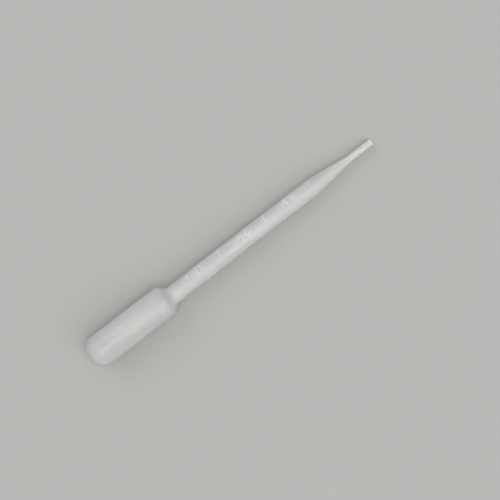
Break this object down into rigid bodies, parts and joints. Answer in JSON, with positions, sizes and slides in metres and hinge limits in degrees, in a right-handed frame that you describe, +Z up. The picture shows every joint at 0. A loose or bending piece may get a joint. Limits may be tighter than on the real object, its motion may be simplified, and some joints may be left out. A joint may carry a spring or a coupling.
{
  "type": "dropper pipette",
  "caption": "One-piece soft plastic dropper pipette: squeeze bulb, round stem with raised volume marks, and a narrow drawn tip, hollow and open at the tip.",
  "frame": {"origin": "on the surface that the pipette lies on, under the middle of its box", "axes": "+X along the pipette towards its open tip, +Z up from the surface, +Y towards the side that carries the volume marks"},
  "size_m": [0.1556, 0.0146, 0.0161],
  "materials": {
    "polyethylene": "satin, milky and translucent, natural low-density polyethylene"
  },
  "bodies": {
    "root": {"pipette": "polyethylene"}
  },
  "joints": []
}
